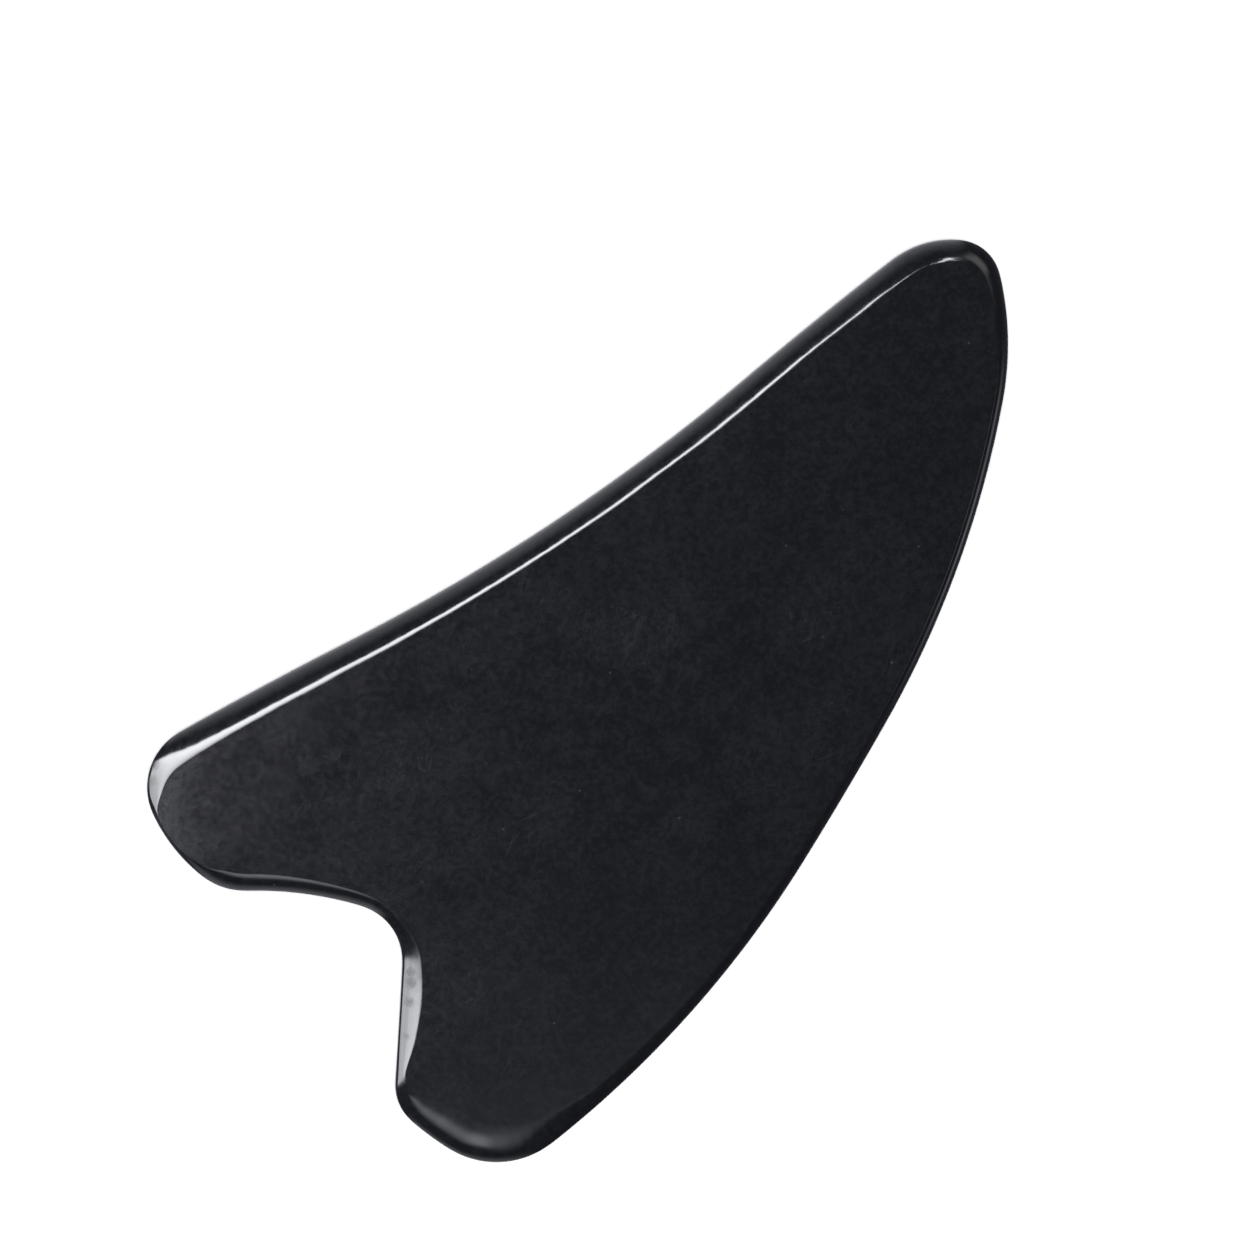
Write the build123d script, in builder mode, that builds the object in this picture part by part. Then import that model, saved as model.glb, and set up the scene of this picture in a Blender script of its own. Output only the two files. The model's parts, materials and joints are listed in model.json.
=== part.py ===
"""Gua sha scraper: one polished slab of dark stone with a hollow back, a curved belly and a forked tail.

Frame: +X runs to the rounded tip, +Y to the thick hollow back and +Z up from the face it lies on.
The origin is at the middle of the outline, on the lower face. All sizes are in millimetres.
"""
from build123d import *
from math import atan, cos, degrees, pi, sin, sqrt
import os

# Overall size
LENGTH = 110.0
WIDTH = 60.0
BACK_THICKNESS = 7.0
BELLY_THICKNESS = 3.4

# Depth of the hollow along the back, and of the notch between the two horns of the tail
BACK_HOLLOW = 3.6
NOTCH_DEPTH = 15.0

# Radii of the corners and the long curves, anticlockwise round the outline from the tip
NOSE_RADIUS = 4.8
SHOULDER_RADIUS = 10.4
BACK_RADIUS = 226.0
HORN_TOP_RADIUS = 6.9
HORN_HEEL_RADIUS = 7.4
THROAT_RADIUS = 6.2
TOE_RADIUS = 5.0
LOW_HEEL_RADIUS = 9.8
BELLY_RADIUS = 119.0
CREST_RADIUS = 50.6
CHEEK_RADIUS = 33.0

# Radii of the easy arcs that join them
BACK_END_RADIUS = 500.0
HORN_END_RADIUS = 18.8
UPPER_FLANK_RADIUS = 40.0
LOWER_FLANK_RADIUS = 780.0
LOW_HORN_END_RADIUS = 33.0
BELLY_FLAT_RADIUS = 460.0
BELLY_RISE_RADIUS = 113.0

# Where the corners sit along the length and the width
NOSE_Y = 23.6
HORN_TOP_X = -47.95
HORN_HEEL = (-47.05, 17.8)
THROAT_Y = -0.8
TOE = (-45.2, -18.0)
BELLY_CENTRE = (-48.1, 88.65)
CREST_CENTRE = (-4.6, 33.7)

# Directions in degrees, seen from a corner's centre, in which it meets the corner beside it
CHEEK_DIRECTION = -20.0
SHOULDER_DIRECTION = 49.5
LOW_HEEL_DIRECTION = -85.4

# The faces lean apart from a line beyond the belly, parallel to X, where they would meet
SLOPE = (BACK_THICKNESS - BELLY_THICKNESS) / WIDTH
MEETING_Y = -WIDTH / 2 - BELLY_THICKNESS / SLOPE
FACE_ANGLE = degrees(atan(SLOPE))

# Width of the rounded rim, seen from above, for each millimetre of thickness beside it.
# The lower horn is rounded off more softly than the rest.
RIM_RATIO = 0.38
SOFT_RIM_RATIO = 0.75

# Sections through the rim, from the lower face round to the upper one
SECTION_COUNT = 9

# Sides of an arc: it bulges out of the outline or it is hollowed into it
BULGE = 1
HOLLOW = -1


def thickness_at(y):
    """Thickness of the slab at a distance y along the width."""
    return SLOPE * (y - MEETING_Y)


class Circle:
    """A circle that the outline follows for a while. Its edge is drawn in by its share of the rim."""

    def __init__(self, centre, radius, side=BULGE, inset=0.0):
        self.centre = Vector(*centre)
        self.radius = radius - side * inset
        self.side = side

    def towards(self, angle):
        """The way from the centre to the edge, in a direction in degrees."""
        return Vector(self.radius, 0).rotate(Axis.Z, angle)


def touching(corner, radius, direction, inset):
    """The circle that touches a corner from inside or outside in one direction, on the same side."""
    circle = Circle((0, 0), radius, BULGE, inset)
    circle.centre = corner.centre + corner.towards(direction) - circle.towards(direction)
    return circle


def joining(first, second, radius, side):
    """The circle of a given radius that touches two corners, and carries the outline between them."""
    reach = [abs(radius - end.radius) if side == end.side else radius + end.radius for end in (first, second)]
    gap = second.centre - first.centre
    along = (reach[0] ** 2 - reach[1] ** 2 + gap.length**2) / (2 * gap.length)
    aside = sqrt(reach[0] ** 2 - along**2)
    way = gap.normalized()
    return Circle(first.centre + way * along + way.rotate(Axis.Z, 90) * aside * side, radius, side)


def meeting_point(first, second):
    """The point where one circle of the outline hands over to the next."""
    way = (second.centre - first.centre).normalized()
    inside_second = first.side == second.side and first.radius < second.radius
    return first.centre + way * (-first.radius if inside_second else first.radius)


def outline_circles(depth):
    """The circles of the outline, anticlockwise from the cheek, at a depth of 0 to 1 into the rim."""

    def inset(y, ratio=RIM_RATIO):
        return depth * ratio * thickness_at(y)

    back_y = WIDTH / 2 - BACK_HOLLOW
    horn_top_y = WIDTH / 2 - HORN_TOP_RADIUS
    throat_x = NOTCH_DEPTH - LENGTH / 2 - THROAT_RADIUS
    nose_x = LENGTH / 2 - NOSE_RADIUS

    nose = Circle((nose_x, NOSE_Y), NOSE_RADIUS, BULGE, inset(NOSE_Y))
    cheek = touching(nose, CHEEK_RADIUS, CHEEK_DIRECTION, inset(NOSE_Y / 2))
    shoulder = touching(nose, SHOULDER_RADIUS, SHOULDER_DIRECTION, inset(WIDTH / 2))
    back = Circle((0, back_y + BACK_RADIUS), BACK_RADIUS, HOLLOW, inset(back_y))
    horn_top = Circle((HORN_TOP_X, horn_top_y), HORN_TOP_RADIUS, BULGE, inset(horn_top_y))
    horn_heel = Circle(HORN_HEEL, HORN_HEEL_RADIUS, BULGE, inset(HORN_HEEL[1]))
    throat = Circle((throat_x, THROAT_Y), THROAT_RADIUS, HOLLOW, inset(THROAT_Y))
    toe = Circle(TOE, TOE_RADIUS, BULGE, inset(TOE[1], SOFT_RIM_RATIO))
    belly = Circle(BELLY_CENTRE, BELLY_RADIUS, BULGE, inset(BELLY_CENTRE[1] - BELLY_RADIUS))
    low_heel = touching(belly, LOW_HEEL_RADIUS, LOW_HEEL_DIRECTION, inset(-WIDTH / 2, SOFT_RIM_RATIO))
    crest = Circle(CREST_CENTRE, CREST_RADIUS, BULGE, inset(CREST_CENTRE[1] - CREST_RADIUS))

    return [
        cheek,
        nose,
        shoulder,
        joining(shoulder, back, BACK_END_RADIUS, BULGE),
        back,
        joining(back, horn_top, BACK_END_RADIUS, BULGE),
        horn_top,
        joining(horn_top, horn_heel, HORN_END_RADIUS, BULGE),
        horn_heel,
        joining(horn_heel, throat, UPPER_FLANK_RADIUS, HOLLOW),
        throat,
        joining(throat, toe, LOWER_FLANK_RADIUS, HOLLOW),
        toe,
        joining(toe, low_heel, LOW_HORN_END_RADIUS, BULGE),
        low_heel,
        belly,
        joining(belly, crest, BELLY_FLAT_RADIUS, BULGE),
        crest,
        joining(crest, cheek, BELLY_RISE_RADIUS, BULGE),
    ]


def draw_outline(depth):
    """Draw the closed outline, one arc for each circle, all meeting smoothly."""
    circles = outline_circles(depth)
    for number, circle in enumerate(circles):
        start = meeting_point(circles[number - 1], circle)
        end = meeting_point(circle, circles[(number + 1) % len(circles)])
        middle = circle.centre + ((start + end) * 0.5 - circle.centre).normalized() * circle.radius
        ThreePointArc(start, middle, end)


def section_plane(lean):
    """The plane through the line where the faces would meet, lifted by an angle in degrees."""
    meeting_line = Plane(origin=(0, MEETING_Y, 0)).rotated((lean, 0, 0))
    return meeting_line.shift_origin(meeting_line.from_local_coords((0, -MEETING_Y, 0)))


# The board: elliptical rim sections, spread evenly round a half turn from the lower face to the upper
os.makedirs("parts", exist_ok=True)

with BuildPart() as scraper_board:
    for section in range(SECTION_COUNT):
        turn = pi * section / (SECTION_COUNT - 1)
        rise = (1 - cos(turn)) / 2
        depth = 1 - sin(turn)
        with BuildSketch(section_plane(rise * FACE_ANGLE)):
            with BuildLine():
                draw_outline(depth)
            make_face()
    loft()

scraper_board.part.label = "scraper_board"
export_step(scraper_board.part, "parts/scraper_board.step")
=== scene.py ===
"""Looks for the gua sha scraper: the polished stone board, on a pale floor under soft studio light.

Everything is in metres, in the CAD frame: +X to the rounded tip, +Y to the hollow back, +Z up.
"""

import json
import math

import bmesh
import bpy
import numpy as np
from mathutils import Matrix, Vector, kdtree, noise
from mathutils.geometry import delaunay_2d_cdt


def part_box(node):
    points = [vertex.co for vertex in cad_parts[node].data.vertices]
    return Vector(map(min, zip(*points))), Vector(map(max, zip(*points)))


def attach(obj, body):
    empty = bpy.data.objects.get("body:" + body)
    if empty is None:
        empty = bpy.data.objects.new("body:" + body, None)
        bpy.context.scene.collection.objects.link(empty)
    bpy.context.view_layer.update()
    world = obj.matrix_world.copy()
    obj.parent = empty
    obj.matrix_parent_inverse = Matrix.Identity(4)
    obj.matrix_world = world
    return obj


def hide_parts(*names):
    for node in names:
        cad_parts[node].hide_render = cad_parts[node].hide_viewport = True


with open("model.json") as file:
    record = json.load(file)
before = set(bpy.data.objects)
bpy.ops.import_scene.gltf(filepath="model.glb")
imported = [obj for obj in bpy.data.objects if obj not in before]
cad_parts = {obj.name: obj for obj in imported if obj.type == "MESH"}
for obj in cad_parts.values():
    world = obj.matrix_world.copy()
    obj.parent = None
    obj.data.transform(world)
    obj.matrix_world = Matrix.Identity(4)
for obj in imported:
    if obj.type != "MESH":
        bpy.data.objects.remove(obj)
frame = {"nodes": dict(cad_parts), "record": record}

# The CAD mesh and the view layer are brought up to date first, so that the box is measured right
NODE = "scraper_board"
frame["nodes"][NODE].data.update()
bpy.context.view_layer.update()
NODE_LOW, NODE_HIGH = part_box(NODE)

MM = 0.001

# Mesh density: stations round the outline, rings in a rounding, rings in half the wall below it, and the
# spacing of the points in a face
STATIONS = 900
RIM_RINGS = 16
WALL_RINGS = 4
FACE_SPACING = 0.9 * MM

# The points in a face stay this share of their spacing away from its border
BORDER_CLEARANCE = 0.6

# The outline is sampled this many times as finely as it is used
OUTLINE_OVERSAMPLING = 4

# The CAD outline is cut from flat facets, which this much smoothing hides
OUTLINE_SMOOTHING = 0.6 * MM

# The faces fall away a little towards the rim, as hand polishing leaves them
CROWN_DROP = 0.035 * MM
CROWN_REACH = 2.2 * MM

# Polishing by hand leaves the faces very slightly wavy
POLISH_DEPTH = 0.006 * MM
POLISH_WAVE = 9 * MM

# Where a face ends, the rim starts at once with a small tilt, turned in over this narrow soft edge
EDGE_SOFTNESS = 0.12 * MM

# The wall left between the two roundings bulges: at the height of a face it would stand in by this much
BARREL = 0.3 * MM

# A rounding takes up at most this share of half the thickness
DEEPEST_DROP = 0.92

# The sizes in RIM_PLACES are eased into one another over this many stations
EASING = 13

# The rim was ground by hand, so its width wanders and trembles by these shares, in waves of these
# lengths
HAND_WOBBLE = 0.05
HAND_WAVE = 7 * MM
TREMOR = 0.012
TREMOR_WAVE = 1.1 * MM

# Dull rub marks on the rim: (x, y, z) in mm and radius in mm
RUB_MARKS = [
    ((-52.6, 27.0, 6.3), 1.3),
    ((-51.6, 28.4, 6.3), 1.1),
    ((-41.0, -5.8, 4.5), 0.9),
    ((-41.6, -6.7, 4.4), 1.1),
    ((-42.9, -8.4, 4.3), 0.9),
    ((-45.2, -11.4, 4.0), 0.8),
]

# The rim at places round the outline, from the middle of the back anticlockwise: (x, y) in mm, the width
# and the drop of its rounding in mm, and the tilt in degrees where it leaves the face
RIM_PLACES = [
    ((-3.6, 26.4), 2.5, 3.1, 5.5),
    ((-40.8, 29.3), 2.9, 3, 5.5),
    ((-46.8, 29.6), 3.05, 2.2, 6),
    ((-49.4, 29.6), 3.05, 1.5, 7),
    ((-50.7, 29.0), 2.75, 1.25, 7),
    ((-53.1, 27.1), 2.05, 1, 7),
    ((-54.3, 25.5), 1.4, 0.9, 8),
    ((-54.6, 24.4), 0.5, 1.0, 16),
    ((-54.8, 23.0), 0.4, 1.3, 26),
    ((-54.7, 20.8), 0.35, 1.2, 28),
    ((-54.6, 17.9), 0.6, 0.8, 12),
    ((-53.9, 15.0), 1.4, 1.1, 10),
    ((-52.9, 13.1), 2.0, 1.1, 12),
    ((-49.4, 10.5), 2.0, 0.9, 12),
    ((-43.7, 5.9), 1.6, 0.85, 12),
    ((-39.9, -1.0), 1.2, 0.95, 10),
    ((-40.5, -4.0), 2.1, 1.0, 6),
    ((-42.3, -6.7), 2.4, 0.9, 7),
    ((-44.1, -8.8), 2.3, 0.9, 7),
    ((-46.1, -11.4), 1.9, 0.8, 7),
    ((-48.5, -14.4), 0.9, 0.6, 5),
    ((-49.5, -16.0), 1.5, 0.6, 1),
    ((-49.9, -18.0), 3, 0.8, 0.5),
    ((-48.7, -23.2), 4.4, 1, 0.5),
    ((-44.4, -28.6), 4.4, 1.1, 0.5),
    ((-39.0, -29.5), 3.4, 1, 0.5),
    ((-31.4, -28.8), 1.6, 1.1, 1),
    ((-13.9, -25.4), 1.1, 1.2, 2),
    ((20.2, -10.5), 1.1, 1.4, 2),
    ((38.9, 2.8), 1, 1.5, 5),
    ((47.5, 10.1), 1.05, 1.6, 5),
    ((53.5, 18.4), 1.5, 2, 4),
    ((54.8, 24.0), 2.3, 2.4, 4),
    ((51.2, 28.6), 2.6, 2.6, 9),
    ((49.0, 29.5), 2.6, 2.8, 20),
    ((46.3, 30.0), 2.6, 2.9, 24),
    ((42.8, 29.6), 2.6, 3, 5.5),
]


def faces_from_record():
    """The y of the line where the two faces would meet, and the angle between them, from the mounts."""
    mounts = {mount["name"]: mount for mount in frame["record"]["mounts"]}
    normal = mounts["upper_face"]["axis"]
    height = mounts["upper_face"]["pos_m"][2]
    return normal[2] * height / normal[1], math.atan2(-normal[1], normal[2])


MEETING_Y, FACE_ANGLE = faces_from_record()
SLOPE = math.tan(FACE_ANGLE)


def thickness_at(y):
    return (y - MEETING_Y) * SLOPE


def cad_outline():
    """The CAD board's outline halfway between its faces, sampled evenly, anticlockwise.

    Every point of the outline is seen from the origin, so the points are put in order by direction.
    """
    mesh = frame["nodes"][NODE].data
    corners = np.array([vertex.co for vertex in mesh.vertices])
    ends = corners[np.array([edge.vertices[:] for edge in mesh.edges])]
    height = ends[:, :, 2] - np.tan(FACE_ANGLE / 2) * (ends[:, :, 1] - MEETING_Y)
    crossing = height[:, 0] * height[:, 1] < 0
    ends, height = ends[crossing], height[crossing]
    share = (height[:, 0] / (height[:, 0] - height[:, 1]))[:, None]
    points = (ends[:, 0] + share * (ends[:, 1] - ends[:, 0]))[:, :2]
    points = points[np.argsort(np.arctan2(points[:, 1], points[:, 0]))]
    return smoothed(evenly(points, STATIONS * OUTLINE_OVERSAMPLING))[::OUTLINE_OVERSAMPLING]


def evenly(points, count):
    """Points at equal distances along a closed line."""
    closed = np.vstack([points, points[:1]])
    walked = np.concatenate([[0], np.cumsum(np.linalg.norm(np.diff(closed, axis=0), axis=1))])
    at = np.linspace(0, walked[-1], count, endpoint=False)
    return np.stack([np.interp(at, walked, closed[:, axis]) for axis in (0, 1)], axis=1)


def smoothed(points):
    """A closed, evenly sampled line with its shortest waves taken out."""
    step = np.linalg.norm(np.roll(points, -1, axis=0) - points, axis=1).mean()
    waves = np.fft.fft(points[:, 0] + 1j * points[:, 1])
    pitch = 2 * math.pi * np.fft.fftfreq(len(points), step)
    waves *= np.exp(-((pitch * OUTLINE_SMOOTHING) ** 2) / 2)
    line = np.fft.ifft(waves)
    return np.stack([line.real, line.imag], axis=1)


def outward_normals(points):
    along = np.roll(points, -1, axis=0) - np.roll(points, 1, axis=0)
    normals = np.stack([along[:, 1], -along[:, 0]], axis=1)
    return normals / np.linalg.norm(normals, axis=1)[:, None]


def rim_sizes(outline):
    """Width, drop and starting tilt of the rim at every station, eased between RIM_PLACES."""
    stops = []
    for place, width, drop, tilt in RIM_PLACES:
        station = np.argmin(np.linalg.norm(outline - np.array(place) * MM, axis=1))
        stops.append((station, width * MM, drop * MM, math.radians(tilt)))
    stops.sort()
    stations = np.array([stop[0] for stop in stops])
    sizes = []
    for column in (1, 2, 3):
        values = np.array([stop[column] for stop in stops])
        level = np.interp(np.arange(STATIONS), stations, values, period=STATIONS)
        window = np.hanning(EASING)
        padded = np.concatenate([level[-(EASING // 2):], level, level[:EASING // 2]])
        sizes.append(np.convolve(padded, window / window.sum(), mode="valid"))
    width, drop, tilt = sizes
    wander = [noise.noise(Vector((x, y, 0)) / HAND_WAVE) for x, y in outline]
    tremor = [noise.noise(Vector((x, y, 0)) / TREMOR_WAVE) for x, y in outline]
    width = width * (1 + HAND_WOBBLE * np.array(wander) + TREMOR * np.array(tremor))
    return width, np.minimum(drop, thickness_at(outline[:, 1]) / 2 * DEEPEST_DROP), tilt


def board_mesh():
    """The board as one closed mesh: two crowned faces, and a rim of rings between them.

    The upper half of the rim is a soft edge, a quarter of an ellipse cut short at the starting tilt, and
    the wall down to the middle. Each ring has an inset from the outline and a fall from the face. The lower
    half repeats it upside down.
    """
    outline = cad_outline()
    normals = outward_normals(outline)
    width, drop, tilt = rim_sizes(outline)

    work = bmesh.new()
    rings = []
    first_turn = np.arctan(np.tan(tilt) * width / drop)
    insets = [width + EDGE_SOFTNESS]
    falls = [drop * 0]
    for ring in range(RIM_RINGS + 1):
        turn = first_turn + (math.pi / 2 - first_turn) * ring / RIM_RINGS
        insets.append(width * (1 - np.sin(turn)) / (1 - np.sin(first_turn)))
        falls.append(drop * (np.cos(first_turn) - np.cos(turn)) / np.cos(first_turn))
    full_half = thickness_at(outline[:, 1]) / 2
    for ring in range(1, WALL_RINGS + 1):
        insets.append(width * 0)
        falls.append(drop + (full_half - CROWN_DROP - drop) * ring / WALL_RINGS)
    upper = list(zip(insets, falls))
    for side, profile in ((1, upper), (-1, upper[-2::-1])):
        for inset, fall in profile:
            height = (full_half - CROWN_DROP - fall) / full_half
            bulged = inset + BARREL * height**2 * (1 - inset / insets[0])
            plan = outline - normals * bulged[:, None]
            # The rounding keeps its fall from the face, and the wall is scaled to the thickness where it is
            half = thickness_at(plan[:, 1]) / 2
            z = half + side * (half - CROWN_DROP - fall) * np.where(fall < drop, 1, half / full_half)
            rings.append([work.verts.new((p[0], p[1], h)) for p, h in zip(plan, z)])
    for ring, after in zip(rings[:-1], rings[1:]):
        for i in range(STATIONS):
            j = (i + 1) % STATIONS
            work.faces.new((ring[i], ring[j], after[j], after[i]))
    for ring, side in ((rings[0], 1), (rings[-1], -1)):
        fill_face(work, ring, side)
    bmesh.ops.recalc_face_normals(work, faces=work.faces[:])
    mesh = bpy.data.meshes.new("polished_board")
    work.to_mesh(mesh)
    work.free()
    for polygon in mesh.polygons:
        polygon.use_smooth = True
    return mesh


# The triangulation's settings: keep the triangles inside the border, and merge points nearer than this
INSIDE_BORDER = 1
MERGE_GAP = 1e-9


def fill_face(work, ring, side):
    """Fill a ring with a crowned face, on a grid of nearly equal triangles."""
    border = [Vector((v.co.x, v.co.y)) for v in ring]
    tree = kdtree.KDTree(len(border))
    for i, point in enumerate(border):
        tree.insert((point.x, point.y, 0), i)
    tree.balance()
    row_gap = FACE_SPACING * math.sqrt(3) / 2
    grid = []
    rows = int((NODE_HIGH.y - NODE_LOW.y) / row_gap)
    columns = int((NODE_HIGH.x - NODE_LOW.x) / FACE_SPACING)
    for row in range(rows):
        for column in range(columns):
            x = NODE_LOW.x + (column + 0.5 * (row % 2)) * FACE_SPACING
            y = NODE_LOW.y + row * row_gap
            if tree.find((x, y, 0))[2] > FACE_SPACING * BORDER_CLEARANCE:
                grid.append(Vector((x, y)))
    count = len(border)
    edges = [(i, (i + 1) % count) for i in range(count)]
    points, _, triangles, _, _, _ = delaunay_2d_cdt(border + grid, edges, [], INSIDE_BORDER, MERGE_GAP)
    made = {}
    for triangle in triangles:
        corners = []
        for index in triangle:
            if index < count:
                corners.append(ring[index])
                continue
            if index not in made:
                x, y = points[index]
                gap = tree.find((x, y, 0))[2]
                half = thickness_at(y) / 2
                wave = POLISH_DEPTH * noise.noise(Vector((x, y, side * POLISH_WAVE)) / POLISH_WAVE)
                crown = math.exp(-gap / CROWN_REACH)
                fall = CROWN_DROP * crown + max(wave, 0) * (1 - crown)
                made[index] = work.verts.new((x, y, half + side * (half - fall)))
            corners.append(made[index])
        work.faces.new(corners)


class Nodes:
    """Shorthand for building a node tree: each call makes one node and links its inputs."""

    def __init__(self, tree):
        self.tree = tree

    def add(self, kind, inputs=None, **settings):
        node = self.tree.nodes.new(kind)
        for name, value in settings.items():
            setattr(node, name, value)
        for name, value in (inputs or {}).items():
            socket = node.inputs[name]
            if isinstance(name, str):
                socket = next(one for one in node.inputs if one.name == name and one.enabled)
            if isinstance(value, bpy.types.NodeSocket):
                self.tree.links.new(value, socket)
            else:
                socket.default_value = value
        return node

    def scaled_sum(self, value, factor, base):
        """The output that holds value * factor + base."""
        inputs = {0: value, 1: factor, 2: base}
        return self.add("ShaderNodeMath", inputs, operation="MULTIPLY_ADD").outputs[0]


# A noise's scale is about how many waves go to the metre, and its values lie about this mean
NOISE_MEAN = 0.5

# The stone's clouds, mottles and grain, each with its scale and its share
STONE_LAYERS = ((60.0, 0.14), (520.0, 0.30), (1500.0, 0.56))
STONE_DETAIL = {"Detail": 3.0, "Roughness": 0.7}

# Pale specks: how many random cells go to the metre, the share of cells that hold none, and a speck's
# radius to its outer and inner edge, in cells
SPECK_CELLS = 420.0
EMPTY_CELLS = 0.8
SPECK_OUTER = 0.07
SPECK_INNER = 0.03

# Hairline scratches: heading in radians and seed of each set, and the wavelengths of the stretched noise
HAIRLINE_SETS = ((0.55, 0.0), (0.80, 3.7), (-0.30, 9.1))
HAIRLINE_WAVES = (9 * MM, 1.6 * MM, 15 * MM)

# A scratch lies where that noise is this near its mean value, to the outer and inner edge
HAIRLINE_OUTER = 0.010
HAIRLINE_INNER = 0.002

# Scratches show only in worn zones: where a wide noise passes the first of these values, and in full from
# the second
ZONE_SCALE = 110.0
ZONE_START = 0.5
ZONE_FULL = 0.7

# A rub mark's ragged edge: scale of the noise, its depth, and how softly the mark sets in
RAGGED_SCALE = 3200.0
RAGGED_DEPTH = 0.4
RUB_SOFTNESS = 0.6


def stone_tone(nodes, where):
    """Grey level of the stone: faint clouds, small mottles and fine grain, added up."""
    tone = None
    for scale, share in STONE_LAYERS:
        layer = nodes.add("ShaderNodeTexNoise", {"Vector": where, "Scale": scale} | STONE_DETAIL)
        tone = nodes.scaled_sum(layer.outputs["Fac"], share, 0.0 if tone is None else tone)
    return tone


def pale_specks(nodes, where):
    """A mask of sparse pale specks: a small round one in a few of many random cells."""
    cells = nodes.add("ShaderNodeTexVoronoi", {"Vector": where, "Scale": SPECK_CELLS})
    chance = nodes.add("ShaderNodeSeparateColor", {"Color": cells.outputs["Color"]})
    inputs = {0: chance.outputs["Red"], 1: EMPTY_CELLS}
    chosen = nodes.add("ShaderNodeMath", inputs, operation="GREATER_THAN")
    inputs = {"Value": cells.outputs["Distance"], "From Min": SPECK_OUTER, "From Max": SPECK_INNER}
    spot = nodes.add("ShaderNodeMapRange", inputs)
    both = {0: chosen.outputs[0], 1: spot.outputs["Result"]}
    return nodes.add("ShaderNodeMath", both, operation="MULTIPLY").outputs[0]


def hairlines(nodes, where, heading, seed):
    """A mask of long fine scratches along one heading, where a stretched noise crosses its mean value."""
    placing = {"Location": (seed, 0.0, 0.0), "Rotation": (0.0, 0.0, heading), "Scale": HAIRLINE_WAVES}
    turned = nodes.add("ShaderNodeMapping", {"Vector": where} | placing, vector_type="TEXTURE")
    inputs = {"Vector": turned.outputs["Vector"], "Scale": 1.0, "Detail": 1.0}
    field = nodes.add("ShaderNodeTexNoise", inputs)
    above = nodes.add("ShaderNodeMath", {0: field.outputs["Fac"], 1: NOISE_MEAN}, operation="SUBTRACT")
    gap = nodes.add("ShaderNodeMath", {0: above.outputs[0]}, operation="ABSOLUTE")
    inputs = {"Value": gap.outputs[0], "From Min": HAIRLINE_OUTER, "From Max": HAIRLINE_INNER}
    line = nodes.add("ShaderNodeMapRange", inputs)
    zone = nodes.add("ShaderNodeTexNoise", {"Vector": where, "Scale": ZONE_SCALE + seed, "Detail": 2.0})
    inputs = {"Value": zone.outputs["Fac"], "From Min": ZONE_START, "From Max": ZONE_FULL}
    worn = nodes.add("ShaderNodeMapRange", inputs)
    both = {0: line.outputs["Result"], 1: worn.outputs["Result"]}
    return nodes.add("ShaderNodeMath", both, operation="MULTIPLY").outputs[0]


def rub_marks(nodes, where):
    """A mask of the rub marks, each a round patch with a ragged edge."""
    ragged = nodes.add("ShaderNodeTexNoise", {"Vector": where, "Scale": RAGGED_SCALE, "Detail": 3.0})
    inputs = {"Value": ragged.outputs["Fac"], "From Min": 0.3, "From Max": 0.7, "To Max": RAGGED_DEPTH}
    raggedness = nodes.add("ShaderNodeMapRange", inputs)
    mask = None
    for place_mm, radius in RUB_MARKS:
        inputs = {0: where, 1: Vector(place_mm) * MM}
        gap = nodes.add("ShaderNodeVectorMath", inputs, operation="DISTANCE").outputs["Value"]
        worn = nodes.add("ShaderNodeMapRange", {"Value": gap, "From Min": radius * MM, "From Max": 0.0})
        joined = {0: worn.outputs["Result"], 1: 0.0 if mask is None else mask}
        mask = nodes.add("ShaderNodeMath", joined, operation="MAXIMUM").outputs[0]
    edge = nodes.add("ShaderNodeMath", {0: mask, 1: raggedness.outputs["Result"]}, operation="SUBTRACT")
    inputs = {"Value": edge.outputs[0], "From Max": RUB_SOFTNESS}
    return nodes.add("ShaderNodeMapRange", inputs).outputs["Result"]


# Colours of the stone, between which its tone moves over TONE_RANGE, and of its specks
DARK_STONE = (0.0017, 0.0018, 0.0023, 1)
LIGHT_STONE = (0.0033, 0.0034, 0.0041, 1)
PALE_SPECK = (0.016, 0.016, 0.018, 1)
TONE_RANGE = (0.44, 0.57)
STONE_IOR = 1.52

# Roughness of the polish: it wanders in smudges, from To Min to To Max, and the grain, the scratches and
# the rub marks add this much to it
SMUDGE_NOISE = {"Scale": 140.0, "Detail": 5.0, "Roughness": 0.55}
SMUDGE_RANGE = {"From Min": 0.3, "From Max": 0.75, "To Min": 0.110, "To Max": 0.145}
GRAIN_DULLING = 0.14
SCRATCH_DULLING = 0.03
RUB_DULLING = 0.3

# How much of the specks' colour a scratch has
SCRATCH_PALENESS = 0.1

# Relief: fine pores this deep, and scratches cut in by a share of that depth
PORE_NOISE = {"Scale": 3600.0, "Detail": 3.0, "Roughness": 0.6}
PORE_DEPTH = 0.0008 * MM
SCRATCH_RELIEF = -0.35


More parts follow.
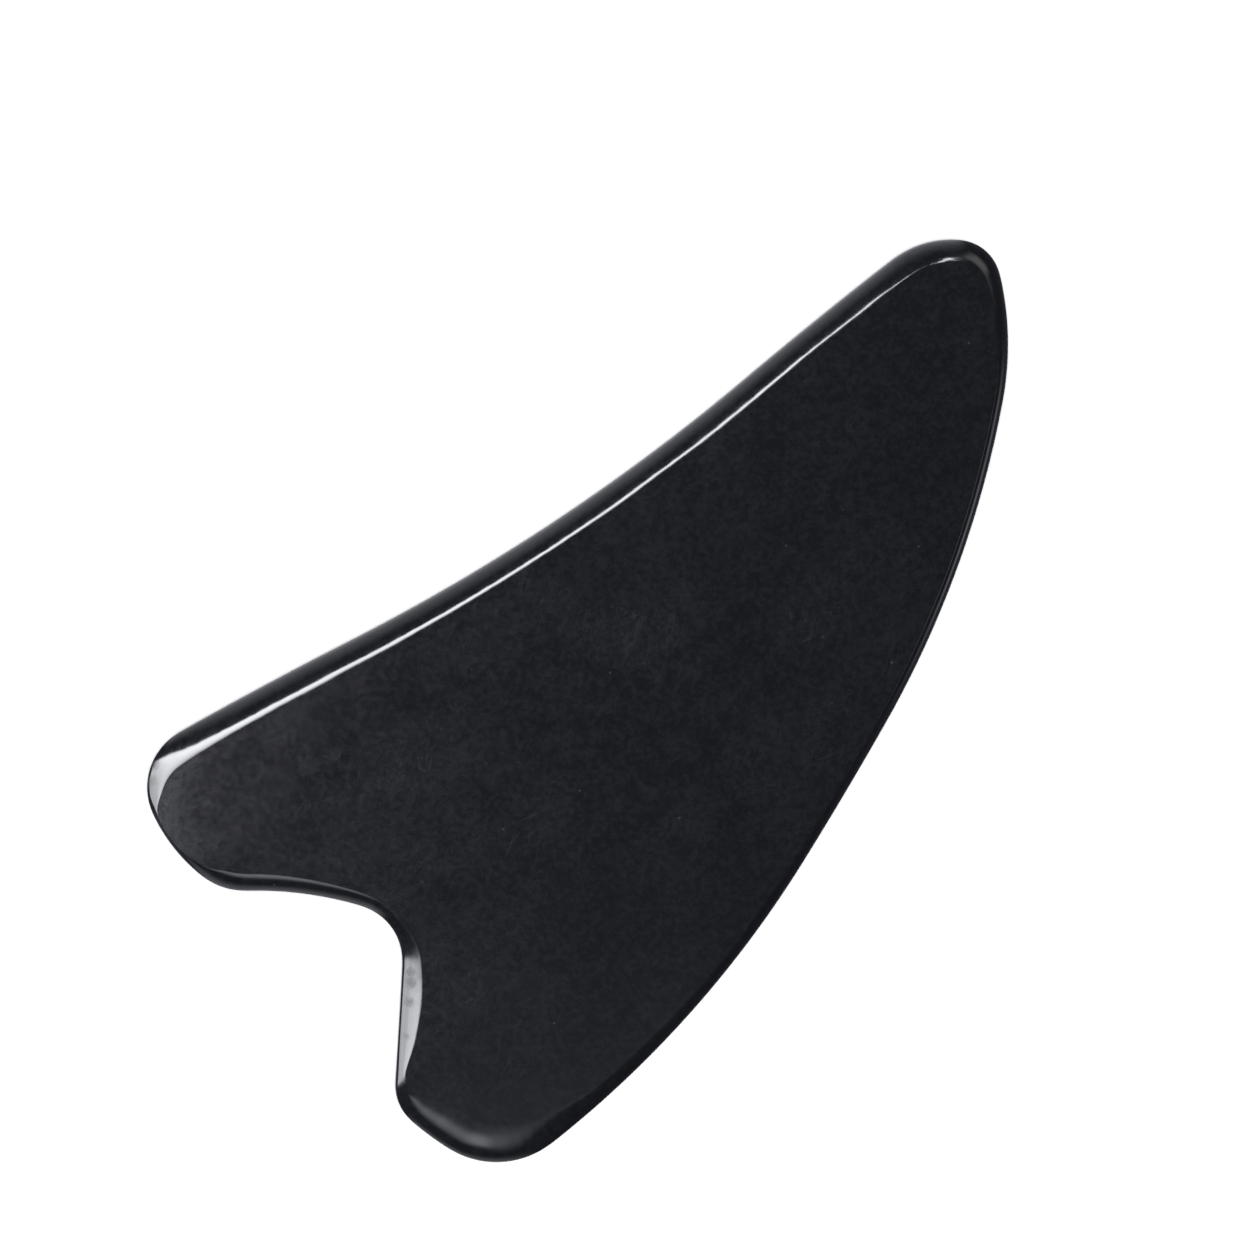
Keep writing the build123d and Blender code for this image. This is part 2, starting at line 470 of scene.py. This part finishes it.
def polished_stone():
    """Near-black stone with clouds, grain and pale specks, under a gloss with smudges and wear."""
    material = bpy.data.materials.new("polished_stone")
    material.use_nodes = True
    tree = material.node_tree
    nodes = Nodes(tree)
    shader = tree.nodes["Principled BSDF"]
    where = nodes.add("ShaderNodeTexCoord").outputs["Object"]

    tone = stone_tone(nodes, where)
    body = nodes.add("ShaderNodeValToRGB", {"Fac": tone})
    for element, position, colour in zip(body.color_ramp.elements, TONE_RANGE, (DARK_STONE, LIGHT_STONE)):
        element.position = position
        element.color = colour

    scratches = None
    for heading, seed in HAIRLINE_SETS:
        mask = hairlines(nodes, where, heading, seed)
        joined = {0: mask, 1: 0.0 if scratches is None else scratches}
        scratches = nodes.add("ShaderNodeMath", joined, operation="MAXIMUM").outputs[0]

    pale = nodes.scaled_sum(scratches, SCRATCH_PALENESS, pale_specks(nodes, where))
    inputs = {"Factor": pale, "A": body.outputs["Color"], "B": PALE_SPECK}
    speckled = nodes.add("ShaderNodeMix", inputs, data_type="RGBA")
    mixed = next(socket for socket in speckled.outputs if socket.enabled)
    tree.links.new(mixed, shader.inputs["Base Color"])

    smudge = nodes.add("ShaderNodeTexNoise", {"Vector": where} | SMUDGE_NOISE)
    gloss = nodes.add("ShaderNodeMapRange", {"Value": smudge.outputs["Fac"]} | SMUDGE_RANGE)
    grain = nodes.add("ShaderNodeMath", {0: tone, 1: NOISE_MEAN}, operation="SUBTRACT")
    roughness = nodes.scaled_sum(grain.outputs[0], GRAIN_DULLING, gloss.outputs["Result"])
    roughness = nodes.scaled_sum(scratches, SCRATCH_DULLING, roughness)
    roughness = nodes.scaled_sum(rub_marks(nodes, where), RUB_DULLING, roughness)
    tree.links.new(roughness, shader.inputs["Roughness"])

    pores = nodes.add("ShaderNodeTexNoise", {"Vector": where} | PORE_NOISE)
    height = nodes.scaled_sum(scratches, SCRATCH_RELIEF, pores.outputs["Fac"])
    relief = nodes.add("ShaderNodeBump", {"Height": height, "Strength": 1.0, "Distance": PORE_DEPTH})
    tree.links.new(relief.outputs["Normal"], shader.inputs["Normal"])

    shader.inputs["IOR"].default_value = STONE_IOR
    return material


# The boxes glow a little unevenly, in patches of about 1 / GLOW_SCALE metres, within these levels
GLOW_SCALE = 5.0
GLOW_RANGE = {"From Min": 0.35, "From Max": 0.65, "To Min": 0.85, "To Max": 1.1}

# A box's gain changes from this share of its side to the far end
GAIN_START = 0.25

WHITE = (1, 1, 1)
COOL = (0.97, 0.985, 1.03)
EVEN = (1, 1, 1, 1)


def soft_light(name, corner, across, down, radiance, lights, fade=0.12, tint=WHITE, gains=EVEN):
    """A rectangular soft light that lights one collection, from its corner and its two sides.

    It fades at its edges, over a share of each side. The gains scale its brightness at the start and end
    of the first side, then of the second.
    """
    data = bpy.data.lights.new(name, "AREA")
    data.shape = "RECTANGLE"
    data.size, data.size_y = across.length, down.length
    data.energy = radiance * math.pi * across.length * down.length
    data.color = tint
    light = bpy.data.objects.new(name, data)
    centre = corner + (across + down) / 2
    along, up = across.normalized(), down.normalized()
    facing = along.cross(up)
    if facing.dot(centre) < 0:
        along, facing = -along, -facing
    light.matrix_world = Matrix.Translation(centre) @ Matrix((along, up, facing)).transposed().to_4x4()
    light.visible_camera = False
    data.use_nodes = True
    nodes = Nodes(data.node_tree)
    spot = nodes.add("ShaderNodeNewGeometry").outputs["Position"]
    offset = nodes.add("ShaderNodeVectorMath", {0: spot, 1: corner}, operation="SUBTRACT")
    from_corner = offset.outputs["Vector"]
    glow = nodes.add("ShaderNodeTexNoise", {"Vector": from_corner, "Scale": GLOW_SCALE, "Detail": 3.0})
    level = nodes.add("ShaderNodeMapRange", {"Value": glow.outputs["Fac"]} | GLOW_RANGE).outputs["Result"]
    for side, start, end in ((across, gains[0], gains[1]), (down, gains[2], gains[3])):
        inputs = {0: from_corner, 1: side / side.length_squared}
        share = nodes.add("ShaderNodeVectorMath", inputs, operation="DOT_PRODUCT").outputs["Value"]
        inputs = {"Value": share, "From Min": GAIN_START, "To Min": start, "To Max": end}
        gain = nodes.add("ShaderNodeMapRange", inputs, interpolation_type="SMOOTHSTEP")
        from_middle = nodes.add("ShaderNodeMath", {0: share, 1: 0.5}, operation="SUBTRACT")
        distance = nodes.add("ShaderNodeMath", {0: from_middle.outputs[0]}, operation="ABSOLUTE")
        inputs = {"Value": distance.outputs[0], "From Min": 0.5, "From Max": 0.5 - fade}
        edge = nodes.add("ShaderNodeMapRange", inputs, interpolation_type="SMOOTHSTEP")
        for factor in (gain, edge):
            inputs = {0: level, 1: factor.outputs["Result"]}
            level = nodes.add("ShaderNodeMath", inputs, operation="MULTIPLY").outputs[0]
    data.node_tree.links.new(level, data.node_tree.nodes["Emission"].inputs["Strength"])
    light.light_linking.receiver_collection = lights
    bpy.context.scene.collection.objects.link(light)


# Camera: straight above with a long lens, turned so that the board lies aslant, its tip at the upper right
CAMERA_HEIGHT = 0.75
VIEW_WIDTH = 135.5 * MM
VIEW_CENTRE = Vector((-0.66, 13.29, 3.0)) * MM
ROLL = math.radians(-33.7)
SENSOR_MM = 36.0

# The picture's right, its top and the vertical
RIGHT = Vector((math.cos(ROLL), math.sin(ROLL), 0))
AHEAD = Vector((-math.sin(ROLL), math.cos(ROLL), 0))
UP = Vector((0, 0, 1))

camera_data = bpy.data.cameras.new("camera")
camera_data.sensor_width = SENSOR_MM
camera_data.lens = SENSOR_MM * CAMERA_HEIGHT / VIEW_WIDTH
camera = bpy.data.objects.new("camera", camera_data)
camera.matrix_world = (
    Matrix.Translation(VIEW_CENTRE + UP * CAMERA_HEIGHT) @ Matrix((RIGHT, AHEAD, UP)).transposed().to_4x4()
)
bpy.context.scene.collection.objects.link(camera)
bpy.context.scene.camera = camera


def place(right, ahead, up):
    """A point given from the origin, along the picture's right, its top and the vertical."""
    return RIGHT * right + AHEAD * ahead + UP * up


# The board
board = bpy.data.objects.new("polished_board", board_mesh())
bpy.context.scene.collection.objects.link(board)
board.data.materials.append(polished_stone())
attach(board, "root")
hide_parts(NODE)

# Floor: a hair below the board, so that the two never share a plane
FLOOR_HALF = 3.0
FLOOR_DROP = 0.02 * MM
FLOOR_COLOUR = (0.9, 0.9, 0.9, 1)
FLOOR_ROUGHNESS = 0.9
signs = ((-1, -1), (1, -1), (1, 1), (-1, 1))
floor_corners = [(x * FLOOR_HALF, y * FLOOR_HALF, -FLOOR_DROP) for x, y in signs]
floor_mesh = bpy.data.meshes.new("floor")
floor_mesh.from_pydata(floor_corners, [], [(0, 1, 2, 3)])
floor = bpy.data.objects.new("floor", floor_mesh)
bpy.context.scene.collection.objects.link(floor)
floor.visible_glossy = False
floor_material = bpy.data.materials.new("pale_floor")
floor_material.use_nodes = True
floor_shader = floor_material.node_tree.nodes["Principled BSDF"]
floor_shader.inputs["Base Color"].default_value = FLOOR_COLOUR
floor_shader.inputs["Roughness"].default_value = FLOOR_ROUGHNESS
floor_shader.inputs["Specular IOR Level"].default_value = 0.0
floor_mesh.materials.append(floor_material)

# Lights. The stone is lit by boxes of its own, and the floor by an overhead one that the stone doesn't
# mirror
on_stone = bpy.data.collections.new("lit_stone")
on_stone.objects.link(board)
on_floor = bpy.data.collections.new("lit_floor")
on_floor.objects.link(floor)


def leaning_box(name, low, high, ahead, radiance, fade, gains=EVEN):
    """A box with level edges that run ahead: low and high are the (right, up) of those edges."""
    corner = place(low[0], ahead[0], low[1])
    far = place(low[0], ahead[1], low[1])
    top = place(high[0], ahead[0], high[1])
    soft_light(name, corner, far - corner, top - corner, radiance, on_stone, fade, COOL, gains)


def crossing_box(name, low, high, right, radiance, fade, gains=EVEN):
    """A box with level edges that run to the right: low and high are the (ahead, up) of those edges."""
    corner = place(right[0], low[0], low[1])
    far = place(right[1], low[0], low[1])
    top = place(right[0], high[0], high[1])
    soft_light(name, corner, far - corner, top - corner, radiance, on_stone, fade, COOL, gains)


# The big box on the left, which whitens the rim along the back, at the upper horn's end and in the notch
leaning_box(
    "left_box", low=(-1.0, 0.05), high=(-0.082, 1.0), ahead=(-0.20, 0.40),
    radiance=14.5, fade=0.08, gains=(0.72, 1.25, 0.85, 1.35),
)

# Strips on the side of the picture's foot: the line along the upper horn's lower side, and the crescent on
# the lower horn
crossing_box(
    "flank_strip", low=(-0.63, 0.79), high=(-0.34, 0.94), right=(-0.25, 0.04),
    radiance=3.5, fade=0.40, gains=(0.6, 1.1, 1, 1),
)
crossing_box(
    "heel_strip", low=(-0.76, 0.72), high=(-0.13, 0.98), right=(-0.10, 0.17), radiance=1.1, fade=0.5
)

# The strip on the right, for the fine line along the belly, and dim walls on three sides, which lift the
# steep parts of the rim out of the black
crossing_box("near_wall", low=(-1.0, -1.5), high=(-0.9, 0.7), right=(-0.9, 0.4), radiance=0.95, fade=0.3)
leaning_box(
    "right_strip", low=(0.75, 0.75), high=(0.55, 0.95), ahead=(-0.45, 0.02), radiance=1.7, fade=0.45
)
leaning_box("right_wall", low=(1.0, -0.6), high=(1.0, 0.1), ahead=(-0.6, 0.1), radiance=1.2, fade=0.45)
crossing_box("far_wall", low=(1.0, -4.0), high=(0.9, 0.6), right=(-1.0, 0.3), radiance=0.75, fade=0.20)

# A small bright lamp for the spot near the tip, and a dim box beyond the tip for the rim round it
crossing_box(
    "tip_lamp", low=(0.25, 0.95), high=(0.58, 0.76), right=(0.071, 0.079), radiance=240.0, fade=0.3
)
soft_light(
    "nose_box", corner=place(0.95, 0.35, 0.15), across=place(-0.6, 0.6, 0), down=place(-0.35, -0.35, 0.7),
    radiance=1.5, lights=on_stone, fade=0.4,
)

# The overhead wash, bright enough to take the floor to white
WASH_HEIGHT = 1.6
WASH_SIDE = 0.4
WASH_RADIANCE = 85.0
wash_corner = place(-WASH_SIDE / 2, -WASH_SIDE / 2, WASH_HEIGHT)
soft_light("floor_wash", wash_corner, RIGHT * WASH_SIDE, AHEAD * WASH_SIDE, WASH_RADIANCE, on_floor)

WORLD_COLOUR = (0.10, 0.104, 0.128, 1)
world = bpy.data.worlds.new("studio")
world.use_nodes = True
world.node_tree.nodes["Background"].inputs["Color"].default_value = WORLD_COLOUR
bpy.context.scene.world = world
bpy.context.scene.view_settings.view_transform = "Standard"
